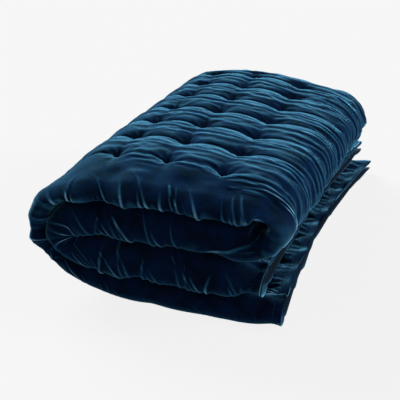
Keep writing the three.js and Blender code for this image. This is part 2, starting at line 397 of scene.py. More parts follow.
@dataclass
class Wrinkling:
    """The cloth simulation that wrinkles the quilted skin: velvet cut larger than the padding under it."""

    depth: float = 700.0
    gather_frames: int = 9
    frames: int = 16
    spare_depth: float = 0.05
    spare_start: Span = (40.0, 100.0)
    uneven_depth: float = 0.6
    uneven_length: float = 24.0
    uneven_pitch: float = 15.0
    jitter: float = 0.1
    hold_grades: int = 50
    cap: float = 10.0
    seed: int = 7
    cloth: dict[str, float | str] = field(
        default_factory=lambda: {
            "quality": 4,
            "mass": 0.1,
            "air_damping": 2.0,
            "tension_stiffness": 20.0,
            "compression_stiffness": 20.0,
            "shear_stiffness": 7.0,
            "bending_stiffness": 0.1,
            "tension_damping": 1.0,
            "compression_damping": 1.0,
            "shear_damping": 1.0,
            "bending_damping": 0.2,
            "vertex_group_mass": "held",
            "pin_stiffness": 1.0,
        }
    )

    def cut(self, points: np.ndarray, depth: np.ndarray) -> np.ndarray:
        """Makes the deeper sheet that the skin was cut from.

        Args:
            points: the skin's grid of points.
            depth: the depth of each point in the even stack.

        Returns:
            The points of the sheet before it is gathered.
        """
        levels = np.linspace(0.0, self.depth, round(self.depth) + 1)
        spare = np.cumsum(self.spare_depth * smoothstep(levels, *self.spare_start))
        across = np.sin(points[..., 0] / self.uneven_length) + np.sin(points[..., 2] / self.uneven_length)
        uneven = self.uneven_depth * across * np.sin(depth / self.uneven_pitch)
        out = points.copy()
        out[..., 1] += np.interp(depth, levels, spare) + uneven
        return out

    def run(self, points: np.ndarray, cut: np.ndarray, held: np.ndarray) -> np.ndarray:
        """Gathers the cut sheet on to the quilt.

        Args:
            points: the skin's grid of points.
            cut: the same grid before it is gathered.
            held: how firmly the sewing and the padding hold each point, 0 to 1.

        Returns:
            How far each point moves from its even place.
        """
        start = cut + np.random.default_rng(self.seed).normal(0.0, self.jitter, cut.shape)
        sheet = mesh_object("skin", start.reshape(-1, 3), [grid_quads(*points.shape[:2], closed=False)])
        sheet.shape_key_add(name="cut")
        folded = sheet.shape_key_add(name="folded")
        folded.data.foreach_set("co", (points * MM).astype(np.float32).ravel())
        for frame, value in ((1, 0.0), (self.gather_frames, 1.0)):
            folded.value = value
            folded.keyframe_insert("value", frame=frame)
        group = sheet.vertex_groups.new(name="held")
        grades = np.round(held.ravel() * self.hold_grades).astype(int)
        for grade in np.unique(grades):
            members = [int(k) for k in np.nonzero(grades == grade)[0]]
            group.add(members, float(grade) / self.hold_grades, "REPLACE")
        modifier = sheet.modifiers.new("cloth", "CLOTH")
        for name, value in self.cloth.items():
            setattr(modifier.settings, name, value)
        modifier.settings.effector_weights.gravity = 0.0
        modifier.point_cache.frame_end = self.frames
        for frame in range(1, self.frames + 1):
            bpy.context.scene.frame_set(frame)
        shaped = sheet.evaluated_get(bpy.context.evaluated_depsgraph_get()).data
        result = np.empty(points.size, dtype=np.float32)
        shaped.vertices.foreach_get("co", result)
        bpy.context.scene.frame_set(1)
        move = result.reshape(points.shape).astype(float) / MM - points
        mesh, action = sheet.data, sheet.data.shape_keys.animation_data.action
        bpy.data.objects.remove(sheet)
        bpy.data.meshes.remove(mesh)
        bpy.data.actions.remove(action)
        length = np.linalg.norm(move, axis=-1, keepdims=True)
        return move * np.minimum(1.0, self.cap / np.maximum(length, 1e-6))


@dataclass
class VelvetQuilt:
    """The quilt itself: two thicknesses joined by the front fold, quilted at tufts and hemmed."""

    strip: Strip = field(default_factory=Strip)
    settling: Settling = field(default_factory=Settling)
    wrinkling: Wrinkling = field(default_factory=Wrinkling)
    depth: float = 700.0
    sheet_gap: float = 2.0
    full_half: float = 25.0
    row_skew: float = 0.115
    # The rounded front of each layer, and the top layer's slope down to it.
    nose_depth: float = 26.0
    nose_bluntness: float = 0.65
    nose_sag: float = 1.5
    lip_reach: float = 45.0
    lip_depth: float = 23.0
    lip_power: float = 1.05
    lip_sag: float = 8.0
    lip_evenness: float = 0.55
    lip_levels: Span = (150.0, 178.0)
    # The quilting: how deep and how far each tuft, row and column of tufts draws the cloth in.
    row_pitch: float = 90.0
    first_row: float = 97.0
    rows: int = 7
    tuft_depth: float = 6.0
    tuft_radius: float = 18.0
    knot_depth: float = 5.0
    knot_radius: float = 6.0
    groove_depth: float = 7.0
    groove_reach: float = 20.0
    line_depth: float = 4.0
    line_reach: float = 5.0
    column_depth: float = 9.0
    column_reach: float = 4.5
    column_run: float = 26.0
    dome_depth: float = 7.5
    dome_reach: float = 19.0
    dome_run: float = 50.0
    crease_softness: float = 2.0
    pillow_height: float = 2.0
    most_drawn: float = 28.0
    back_span: Span = (637.0, 665.0)
    fold_share: float = 0.45
    fold_span: Span = (20.0, 90.0)
    star_height: float = 1.0
    star_reach: float = 13.0
    star_knot: float = 8.0
    star_rays: tuple[int, int] = (6, 9)
    star_turns: Span = (2.4, 1.7)
    # The limp hems round the rim and their topstitch line.
    hem_width: float = 13.0
    hem_half: float = 2.5
    padding_run: float = 55.0
    hem_offset_front: float = 16.0
    hem_offset_back: float = 9.0
    wave_height: float = 1.6
    wave_lengths: Span = (9.5, 15.0)
    wave_spread: float = 1.1
    spread_lengths: Span = (12.0, 31.0)
    stitch_line: float = 11.0
    stitch_sink: float = 0.9
    stitch_spread: float = 2.6
    # The hollow inside the fold at the right.
    hole_depth: float = 19.0
    hole_length: float = 36.0
    hole_run: Span = (40.0, 150.0)
    # The grid across the strip, and the parts of it that are simulated.
    upper_steps: int = 240
    nose_steps: int = 44
    lower_steps: int = 200
    inside_depths: tuple[float, ...] = (700.0, 687.0, 660.0, 632.0, 480.0, 340.0, 200.0, 90.0, 50.0)
    front_columns: int = 156
    flange_rings: int = 34
    streaks: int = 2
    # How firmly the skin is held, and where that changes.
    hold_top: float = 0.32
    hold_side: float = 0.12
    side_span: Span = (90.0, 165.0)
    hold_front: Span = (28.0, 90.0)
    hold_tuft: Span = (3.0, 9.0)
    hold_hem: float = 6.0
    resting_level: float = 30.0
    resting_depth: float = 50.0
    # Creases of the front faces: where along the strip, height, width, lean and start down the face.
    bold_creases: tuple[tuple[float, float, float, float, float], ...] = (
        (352.0, 1.8, 3.6, 0.0, -0.5),
        (398.0, 2.4, 4.0, 0.0, -0.5),
        (431.0, 2.0, 3.6, 0.0, -0.4),
        (452.0, 2.2, 4.0, 8.0, -0.5),
        (484.0, 2.4, 3.8, 6.0, -0.4),
        (503.0, 2.4, 3.4, 10.0, -0.3),
        (532.0, 2.6, 3.6, 12.0, -0.2),
        (622.0, 3.2, 3.0, 26.0, 0.3),
        (678.0, 3.0, 2.8, 20.0, 0.4),
        (702.0, 3.6, 3.0, 22.0, 0.1),
        (730.0, 3.6, 3.0, 32.0, 0.1),
        (815.0, 3.6, 3.6, 8.0, 0.5),
        (842.0, 4.2, 3.6, 0.0, 0.5),
        (866.0, 3.6, 3.6, 8.0, 0.5),
        (1013.0, 3.0, 3.0, 36.0, 0.3),
        (1059.0, 3.0, 3.0, 36.0, 0.2),
        (1275.0, 5.5, 4.2, 2.0, -0.2),
        (1319.0, 3.6, 3.0, 8.0, 0.1),
        (1341.0, 3.6, 3.2, 6.0, 0.0),
        (1437.0, 4.2, 3.2, -3.0, 0.2),
    )
    crease_seed: int = 11
    crease_margin: float = 12.0
    crease_heights: Span = (0.6, 3.3)
    crease_widths: Span = (2.0, 3.2)
    crease_starts: Span = (-0.4, 0.45)
    crease_pitches: Span = (5.0, 12.0)
    crease_gaps: Span = (18.0, 42.0)
    bunched_share: float = 0.6
    crease_slant: float = 30.0
    crease_stray: float = 12.0
    crease_bow: float = 14.0
    crease_foot: float = 0.9
    crease_full: float = 0.85
    crease_end: Span = (1.15, 1.6)
    crease_blunt: float = 0.5
    crease_flank: float = 0.45
    flank_reach: float = 2.4
    crease_calm: float = 0.85
    floor_span: Span = (-20.0, 40.0)
    # Long creases round the curl: first and last place, and how far down the face at each.
    arcs: tuple[tuple[float, float, float, float], ...] = (
        (748.0, 832.0, -0.2, 0.2),
        (768.0, 842.0, 0.05, 0.4),
        (852.0, 925.0, 0.3, 0.85),
        (856.0, 948.0, 0.45, 0.95),
        (866.0, 968.0, 0.62, 1.02),
    )
    arc_run: Span = (874.0, 984.0)
    arc_height: float = 2.2
    arc_scale: float = 16.0
    arc_power: float = 1.4
    arc_rise: float = 20.0
    arc_fall: float = 25.0
    lump_lengths: tuple[float, ...] = (57.0, 83.0, 131.0)
    lump_height: float = 1.3
    lump_sizes: Span = (0.6, 1.2)
    lump_span: Span = (0.45, 0.9)
    # Pleats round the fold at the right, whose starts and ends are in units from its middle, and the
    # puckers beside the hems at the ends.
    pleat_seed: int = 5
    pleat_first: float = 52.0
    pleat_unit: float = 100.0
    pleat_starts: Span = (-1.1, -0.4)
    pleat_ends: Span = (0.1, 0.6)
    pleat_changes: Span = (0.7, 0.3)
    pleat_strays: Span = (14.0, 8.0)
    pleat_heights: Span = (1.2, 4.8)
    pleat_widths: Span = (2.4, 4.6)
    pleat_pitches: Span = (8.0, 26.0)
    pleat_face: float = 10.0
    pleat_margin: float = 20.0
    pucker_first: float = 45.0
    pucker_reaches: Span = (25.0, 75.0)
    pucker_rise: Span = (9.0, 17.0)
    pucker_heights: Span = (0.6, 3.0)
    pucker_widths: Span = (1.8, 3.2)
    pucker_pitches: Span = (5.0, 14.0)
    pucker_stray: float = 0.45
    # How strongly the bend of the skin sets its painted shade in the grooves and painted highlight on the
    # ridges.
    painted_shading_gain: float = 1.5
    painted_shading_blurs: int = 1
    middle: np.ndarray = field(default_factory=lambda: np.zeros(3))
    skin: np.ndarray = field(default_factory=lambda: np.zeros((2, 2, 3)))
    skin_depth: np.ndarray = field(default_factory=lambda: np.zeros((2, 2)))

    def padding(self, to_rim: np.ndarray) -> np.ndarray:
        """Returns how far the padding has grown, 0 on the hem and 1 inside."""
        return np.sqrt(smoothstep(to_rim, self.hem_width, self.hem_width + self.padding_run))

    def lip(self, depth: np.ndarray, drop: float) -> np.ndarray:
        """Returns how far the top layer rounds down before its first row of tufts, by drop at the nose."""
        columns = self.strip.columns
        before = np.maximum(self.first_row - depth, 0.0) / (self.first_row - self.nose_depth)
        full = np.minimum(1.0, columns["upper"] / self.full_half)
        return drop * before**self.lip_power * (smoothstep(columns["z"], *self.lip_levels) * full)

    def near_row(self, depth: np.ndarray) -> tuple[np.ndarray, np.ndarray]:
        """Returns the number of the nearest row of tufts and how far a depth is past it."""
        row = np.clip(np.round((depth - self.first_row) / self.row_pitch), 0, self.rows - 1)
        return row, depth - self.first_row - row * self.row_pitch

    def to_rim(self, depth: np.ndarray) -> np.ndarray:
        """Returns how far points of these depths are from the quilt's rim."""
        return np.minimum(self.strip.columns["to_end"], self.depth - depth)

    def star(self, to_row: np.ndarray) -> np.ndarray:
        """Returns the depth of the little creases that run out from each tuft."""
        columns = self.strip.columns
        tufts = np.array(self.strip.tufts)
        nearest = np.abs(columns["along"] - tufts[None, :]).argmin(axis=1)
        beside = columns["along"] - tufts[nearest][:, None]
        angle = np.arctan2(to_row, beside)
        apart = np.hypot(to_row, beside)
        first_turn, second_turn = self.star_turns
        turn = first_turn * nearest[:, None]
        few, many = self.star_rays
        rays = np.cos(few * angle + turn) + np.cos(many * angle - second_turn * turn)
        clear = smoothstep(apart, 0.0, self.star_knot)
        return self.star_height * rays * np.exp(-apart / self.star_reach) * clear

    def quilting(self, depth: np.ndarray, half: np.ndarray, sheet: Sheet) -> np.ndarray:
        """Returns how far the quilting draws a face in."""
        columns = self.strip.columns
        rounded = smoothstep(columns["z"], *self.lip_levels) * (sheet is Sheet.UPPER)
        row, to_row = self.near_row(depth)
        to_column = np.hypot(columns["to_tuft"], self.crease_softness)
        to_line = np.hypot(to_row, self.crease_softness)
        apart = to_row**2 + columns["to_tuft"] ** 2
        slope = (depth < self.first_row) * rounded
        reach = lerp(self.groove_reach, self.lip_reach, slope)
        drawn = self.groove_depth * np.exp(-to_line / reach)
        drawn = drawn + self.line_depth * np.exp(-to_line / self.line_reach)
        drawn = drawn * (1 - self.lip_evenness * rounded * (row == 0)) + self.star(to_row)
        drawn = drawn + self.tuft_depth * np.exp(-apart / self.tuft_radius**2)
        drawn += self.knot_depth * np.exp(-apart / self.knot_radius**2)
        inner = (1 - smoothstep(depth, *self.back_span)) * (1 - self.lip_evenness * slope)
        column = np.exp(-to_column / self.column_reach - to_line / self.column_run)
        drawn += inner * self.column_depth * column
        dome = np.exp(-((to_column / self.dome_reach) ** 2) - to_line / self.dome_run)
        drawn += inner * self.dome_depth * dome
        drawn = self.most_drawn * np.tanh(drawn / self.most_drawn) - self.pillow_height
        from_fold = np.abs(columns["along"] - self.strip.hole_at)
        fading = lerp(self.fold_share, 1.0, smoothstep(from_fold, *self.fold_span))
        drawn = drawn * fading * np.minimum(1.0, half / self.full_half)
        return drawn + self.lip(depth, self.lip_depth) if sheet is Sheet.UPPER else drawn

    def wave(self, depth: np.ndarray, sheet: Sheet) -> np.ndarray:
        """Returns how far the limp hem of a thickness stands off its even place."""
        place = self.strip.columns["along"] + depth
        waves = [np.sin(place / length + sheet.value * k) for k, length in enumerate(self.wave_lengths, 1)]
        return self.wave_height * sum(waves)

    def face(self, depth: np.ndarray, half: np.ndarray, sheet: Sheet, outside: bool) -> np.ndarray:
        """Returns the distance of a face from the middle of its layer.

        Args:
            depth: the depths of its points.
            half: half the layer's thickness at each station.
            sheet: the thickness it belongs to.
            outside: whether it is the quilted outside or the face in the gap.

        Returns:
            The distances, one row a station.
        """
        grown = self.padding(self.depth - depth) * self.padding(self.strip.columns["to_end"])
        hem = lerp(self.hem_offset_front, self.hem_offset_back, depth / self.depth)
        hem = hem + self.wave(depth, sheet)
        if outside:
            return lerp(hem + self.hem_half, half - self.quilting(depth, half, sheet), grown)
        return lerp(hem - self.hem_half, self.sheet_gap / 2, grown)

    def hollow(self, depth: np.ndarray) -> np.ndarray:
        """Returns how far the inside of the right fold opens towards the front."""
        from_hole = (self.strip.columns["along"] - self.strip.hole_at) / self.hole_length
        return self.hole_depth * np.exp(-(from_hole**2)) * (1 - smoothstep(depth, *self.hole_run))

    def outside(self) -> tuple[np.ndarray, np.ndarray]:
        """Returns the depths and distances of the outside, from the upper back hem to the lower one."""
        columns = self.strip.columns
        count = len(columns["x"])
        upper_depth = np.linspace(self.depth, self.nose_depth, self.upper_steps + 1)[None, :]
        lower_depth = np.linspace(self.nose_depth, self.depth, self.lower_steps + 1)[None, :]
        upper = self.face(upper_depth, columns["upper"], Sheet.UPPER, True)
        lower = self.hollow(lower_depth) - self.face(lower_depth, columns["lower"], Sheet.LOWER, True)
        share = np.arange(1, self.nose_steps)[None, :] / self.nose_steps
        sagged = lerp(1 - (1 - share) ** self.nose_sag, share**self.nose_sag, columns["upright"])
        bulge = self.nose_depth * np.sin(math.pi * sagged) ** self.nose_bluntness
        swing = np.cos(math.pi * share)
        nose = (upper[:, -1:] + lower[:, :1]) / 2 + (upper[:, -1:] - lower[:, :1]) / 2 * swing
        lip = self.lip(np.array([[self.nose_depth]]), self.lip_depth)
        nose += (lip - self.lip(self.nose_depth - bulge, self.lip_depth)) * (1 + swing) / 2
        depths = [upper_depth.repeat(count, 0), self.nose_depth - bulge, lower_depth.repeat(count, 0)]
        return np.concatenate(depths, axis=1), np.concatenate([upper, nose, lower], axis=1)

    def inside(self) -> tuple[np.ndarray, np.ndarray]:
        """Returns the depths and distances of the gap between the thicknesses, from the lower back hem."""
        columns = self.strip.columns
        count = len(columns["x"])
        depths = np.array(self.inside_depths)[None, :]
        sag = self.lip(depths, self.lip_sag)
        upper = self.face(depths, columns["upper"], Sheet.UPPER, False) - sag
        lower = -self.face(depths, columns["lower"], Sheet.LOWER, False) - sag
        wall = lerp(2 * self.hem_half, self.nose_depth - self.sheet_gap, self.padding(columns["to_end"]))
        line = np.repeat(depths, count, axis=0)
        return (
            np.concatenate([line, wall, line[:, ::-1]], axis=1),
            np.concatenate([lower, -self.lip(wall, self.lip_sag), upper[:, ::-1]], axis=1),
        )

    def place(self, depth: np.ndarray, offset: np.ndarray) -> np.ndarray:
        """Returns the settled points for depths and distances, one row a station."""
        columns = self.strip.columns
        x = columns["x"] + columns["normal_x"] * offset
        z = columns["z"] + columns["normal_z"] * offset
        front = columns["setback"] * (1 - np.clip(depth / self.first_row, 0.0, 1.0))
        free = smoothstep(depth, self.nose_depth, self.first_row)
        free = free * smoothstep(self.depth - depth, 0.0, self.first_row)
        rim = 1 - smoothstep(columns["to_end"], 0.0, self.padding_run)
        x = x + self.wave_spread * rim * sum(np.sin(depth / length) for length in self.spread_lengths)
        y = depth - self.row_skew * (x - self.strip.top.tuft_x) * free + front
        return self.settling.settle(x, y, z)

    def ends(self, depth: np.ndarray, offset: np.ndarray, outside_count: int) -> np.ndarray:
        """Triangles that close one end of the strip, zipped between its outside and inside."""
        total = len(depth)
        travel = np.where(offset < 0, depth, -depth)
        inner = list(range(total - 1, outside_count - 1, -1))
        triangles = []
        i, k = 0, 0
        while i + 1 < outside_count or k + 1 < len(inner):
            outside_next = k + 1 == len(inner) or (
                i + 1 < outside_count and travel[i + 1] <= travel[inner[k + 1]]
            )
            if outside_next:
                triangles.append((i, i + 1, inner[k]))
                i += 1
            else:
                triangles.append((i, inner[k + 1], inner[k]))
                k += 1
        return np.array(triangles)

    def hold(self, depth: np.ndarray, offset: np.ndarray, middle: np.ndarray) -> np.ndarray:
        """Says how firmly the sewing and the padding hold the skin.

        Args:
            depth: the depth of each point in the even stack.
            offset: the distance of each point from the middle of its layer.
            middle: the points of the same grid with no thickness.

        Returns:
            The hold, from 0, free, to 1, fixed.
        """
        columns = self.strip.columns
        to_tuft = np.hypot(self.near_row(depth)[1], columns["to_tuft"])
        side = smoothstep(middle[..., 0], *self.side_span) + smoothstep(-middle[..., 0], *self.side_span)
        inside = lerp(self.hold_top, self.hold_side, np.clip(side, 0.0, 1.0))
        held = lerp(1.0, inside, smoothstep(depth, *self.hold_front))
        held = lerp(1.0, held, smoothstep(to_tuft, *self.hold_tuft))
        from_hem = self.to_rim(depth) - self.hem_width
        held = lerp(1.0, held, smoothstep(from_hem, 0.0, self.hold_hem))
        downward = (offset > 0) & (columns["normal_z"] < 0)
        resting = downward & (middle[..., 2] < self.resting_level) & (depth > self.resting_depth)
        return np.where(resting, 1.0, held)

    def wrinkled(self, depth: np.ndarray, offset: np.ndarray, points: np.ndarray) -> np.ndarray:
        """Simulates the outside.

        Args:
            depth: the depth of each point in the even stack.
            offset: the distance of each point from the middle of its layer.
            points: the outside's grid of points.

        Returns:
            How far each point moves.
        """
        began = time.perf_counter()
        coarse = (slice(None, None, 2), slice(None, None, 2))
        middle = self.place(depth, np.zeros_like(offset)) - self.middle
        held = self.hold(depth, offset, middle)
        cut = self.wrinkling.cut(points, depth)
        move = np.zeros((*depth[coarse].shape, 3))
        front = (slice(None), slice(0, self.front_columns))
        flange = (slice(0, self.flange_rings), slice(self.front_columns - 2, None))
        for part in (front, flange):
            held_part = held[coarse][part].copy()
            held_part[:, -1] = 1.0
            held_part[-1, :] = 1.0
            if part is flange:
                held_part[:, 0] = 1.0
            move[part] = self.wrinkling.run(points[coarse][part], cut[coarse][part], held_part)
        for _ in range(self.streaks):
            move[1:-1] = (move[:-2] + 2 * move[1:-1] + move[2:]) / 4
        LOG.info("skin simulated in %.1f s", time.perf_counter() - began)
        return refined(refined(move).swapaxes(0, 1)).swapaxes(0, 1)

    def wind(self, depth: np.ndarray, offset: np.ndarray) -> tuple[np.ndarray, np.ndarray]:
        """Says where points lie round the front face.

        Args:
            depth: the depth of each point in the even stack.
            offset: the distance of each point from the middle of its layer.

        Returns:
            How far down the face each point is, from 0 at its upper lip to 1 at its lower one and past
            them on the layer's faces, and how far it is from the foremost line.
        """
        columns = self.strip.columns
        across = np.where(offset > 0, columns["upper"], columns["lower"])
        from_upper = 0.5 - 0.5 * np.clip(offset / across, -1.0, 1.0)
        beyond = np.maximum(depth - self.nose_depth, 0.0) / (2 * across)
        from_upper = from_upper + np.where(offset > 0, -beyond, beyond)
        return lerp(1 - from_upper, from_upper, columns["upright"]), np.abs(from_upper - 0.5)

    def ridge(self, side: np.ndarray) -> np.ndarray:
        """Returns the height of a pinched crease of height 1, with the hollow that flanks it."""
        pinched = np.exp(self.crease_blunt - np.hypot(side, self.crease_blunt))
        return pinched - self.crease_flank * np.exp(-((side / self.flank_reach) ** 2))

    def pleats(self, depth: np.ndarray, offset: np.ndarray) -> np.ndarray:
        """Returns how far the fine pleats round the right fold and beside the end hems stand out."""
        random = np.random.default_rng(self.pleat_seed)
        along = self.strip.columns["along"]
        gone = (along - self.strip.hole_at) / self.pleat_unit
        raised = np.zeros_like(depth)
        place = self.pleat_first
        while place < self.depth - self.pleat_margin:
            start = random.uniform(*self.pleat_starts)
            end = random.uniform(*self.pleat_ends)
            lean, bow = (random.normal(0.0, stray) for stray in self.pleat_strays)
            side = (depth - (place + lean * gone + bow * gone**2)) / random.uniform(*self.pleat_widths)
            grow, fade = self.pleat_changes
            rise = window(gone, (start, start + grow), (end, end + fade))
            raised += random.uniform(*self.pleat_heights) * self.ridge(side) * rise
            place += random.uniform(*self.pleat_pitches)
        raised *= smoothstep(offset, 0.0, self.pleat_face)
        for from_end in (along, along[-1] - along):
            place = self.pucker_first
            while place < self.depth - self.pleat_margin:
                reach = random.uniform(*self.pucker_reaches)
                line = place + random.normal(0.0, self.pucker_stray) * from_end
                side = (depth - line) / random.uniform(*self.pucker_widths)
                rise = window(from_end, self.pucker_rise, (reach / 2, reach))
                raised += random.uniform(*self.pucker_heights) * self.ridge(side) * rise
                place += random.uniform(*self.pucker_pitches)
        return raised

    def creases(self, depth: np.ndarray, offset: np.ndarray) -> np.ndarray:
        """Returns how far the sharp creases and soft lumps of the front faces stand out."""
        random = np.random.default_rng(self.crease_seed)
        columns, bottom = self.strip.columns, self.strip.bottom
        along = columns["along"]
        low, away = self.wind(depth, offset)
        raised = np.zeros_like(depth)
        creases = list(self.bold_creases)
        place = self.crease_margin
        while place < float(along[-1, 0]) - self.crease_margin:
            height, width = random.uniform(*self.crease_heights), random.uniform(*self.crease_widths)
            lean = random.normal(self.crease_slant, self.crease_stray)
            creases.append((place, height, width, lean, random.uniform(*self.crease_starts)))
            gap = self.crease_pitches if random.uniform() < self.bunched_share else self.crease_gaps
            place += random.uniform(*gap)
        for place, height, width, lean, start in creases:
            bow = random.normal(0.0, self.crease_bow)
            if self.arc_run[0] < place < self.arc_run[1]:
                continue
            slant = columns["normal_z"][int(np.searchsorted(along[:, 0], place)), 0] * lean
            line = place + slant * (low - self.crease_foot) + bow * (low - self.crease_foot) ** 2
            rise = window(low, (start, self.crease_full), self.crease_end)
            raised += height * self.ridge((along - line) / width) * rise
        for first, last, upper, lower in self.arcs:
            line = lerp(upper, lower, np.clip((along - first) / (last - first), 0.0, 1.0) ** self.arc_power)
            rise = window(along, (first, first + self.arc_rise), (last - self.arc_fall, last))
            raised += self.arc_height * self.ridge((low - line) * self.arc_scale) * rise
        lumps = np.zeros_like(along)
        for length in self.lump_lengths:
            lump = np.sin(2 * math.pi * (along / length + random.uniform()))
            lumps += lump * random.uniform(*self.lump_sizes)
        to_stitches = (self.to_rim(depth) - self.stitch_line) / self.stitch_spread
        raised -= self.stitch_sink * np.exp(-(to_stitches**2))
        raised += self.lump_height * lumps * (1 - smoothstep(away, *self.lump_span))
        floor_share = smoothstep(bottom.right - bottom.left - along, *self.floor_span)
        return raised * (1 - self.crease_calm * floor_share)

    def build(self) -> bpy.types.Object:
        """Builds the quilt's mesh.

        Returns:
            The quilt.
        """
        self.strip.lay()
        outside_depth, outside_offset = self.outside()
        inside_depth, inside_offset = self.inside()
        depth = np.concatenate([outside_depth, inside_depth], axis=1)
        offset = np.concatenate([outside_offset, inside_offset], axis=1)
        points = self.place(depth, offset)
        low, high = points.min(axis=(0, 1)), points.max(axis=(0, 1))
        self.middle = np.array([(low[0] + high[0]) / 2, (low[1] + high[1]) / 2, low[2]])
        points = points - self.middle
        rings, count = depth.shape
        outside_count = outside_depth.shape[1]
        skin = slice(0, outside_count)
        standing = self.creases(outside_depth, outside_offset) + self.pleats(outside_depth, outside_offset)
        points[:, skin] += standing[..., None] * normals(points[:, skin])
        points[:, skin] += self.wrinkled(outside_depth, outside_offset, points[:, skin])
        points[..., 2] = np.maximum(points[..., 2], 0.0)
        self.skin, self.skin_depth = points[:, skin], outside_depth
        quads = grid_quads(rings, count, closed=True)
        first = self.ends(depth[0], offset[0], outside_count)[:, ::-1]
        last = self.ends(depth[-1], offset[-1], outside_count) + (rings - 1) * count
        piece = mesh_object("velvet_quilt", points.reshape(-1, 3), [quads, first, last])
        strips = np.tile(np.arange(count), rings - 1)
        backed = np.zeros(len(piece.data.polygons), dtype=np.int32)
        backed[: len(quads)] = (strips >= outside_count) & (strips < count - 1)
        piece.data.polygons.foreach_set("material_index", backed)
        # Painted shade and painted highlight by the bend of the outside; the gap's points stay at 0, so
        # velvet faces that meet them take the darkest painted shade.
        painted_shading = np.zeros((rings, count), dtype=np.float32)
        painted_shading[:, skin] = self.painted_shading_of(self.skin)
        piece.data.attributes.new("painted_shading", "FLOAT", "POINT").data.foreach_set("value", painted_shading.ravel())
        return piece

    def painted_shading_of(self, points: np.ndarray) -> np.ndarray:
        """Measures how the outside curves, for the painted shade in its grooves and the painted highlight
        on its ridges.

        Args:
            points: the outside's grid of points.

        Returns:
            0.5 where it is even, more on a ridge and less in a groove.
        """
        along = np.gradient(points, axis=0)
        across = np.gradient(points, axis=1)
        normal = normals(points)
        bend = np.zeros(points.shape[:2])
        for axis, step in ((0, along), (1, across)):
            ahead, behind = np.roll(points, -1, axis=axis), np.roll(points, 1, axis=axis)
            size = np.maximum((step**2).sum(axis=-1), 1.0)
            bend += ((ahead + behind - 2 * points) * normal).sum(axis=-1) / size
        for _ in range(self.painted_shading_blurs):
            bend = (np.roll(bend, 1, axis=0) + 2 * bend + np.roll(bend, -1, axis=0)) / 4
            bend = (np.roll(bend, 1, axis=1) + 2 * bend + np.roll(bend, -1, axis=1)) / 4
        bend[[0, -1]] = 0.0
        bend[:, [0, -1]] = 0.0
        return np.clip(0.5 - self.painted_shading_gain * bend, 0.0, 1.0).astype(np.float32)


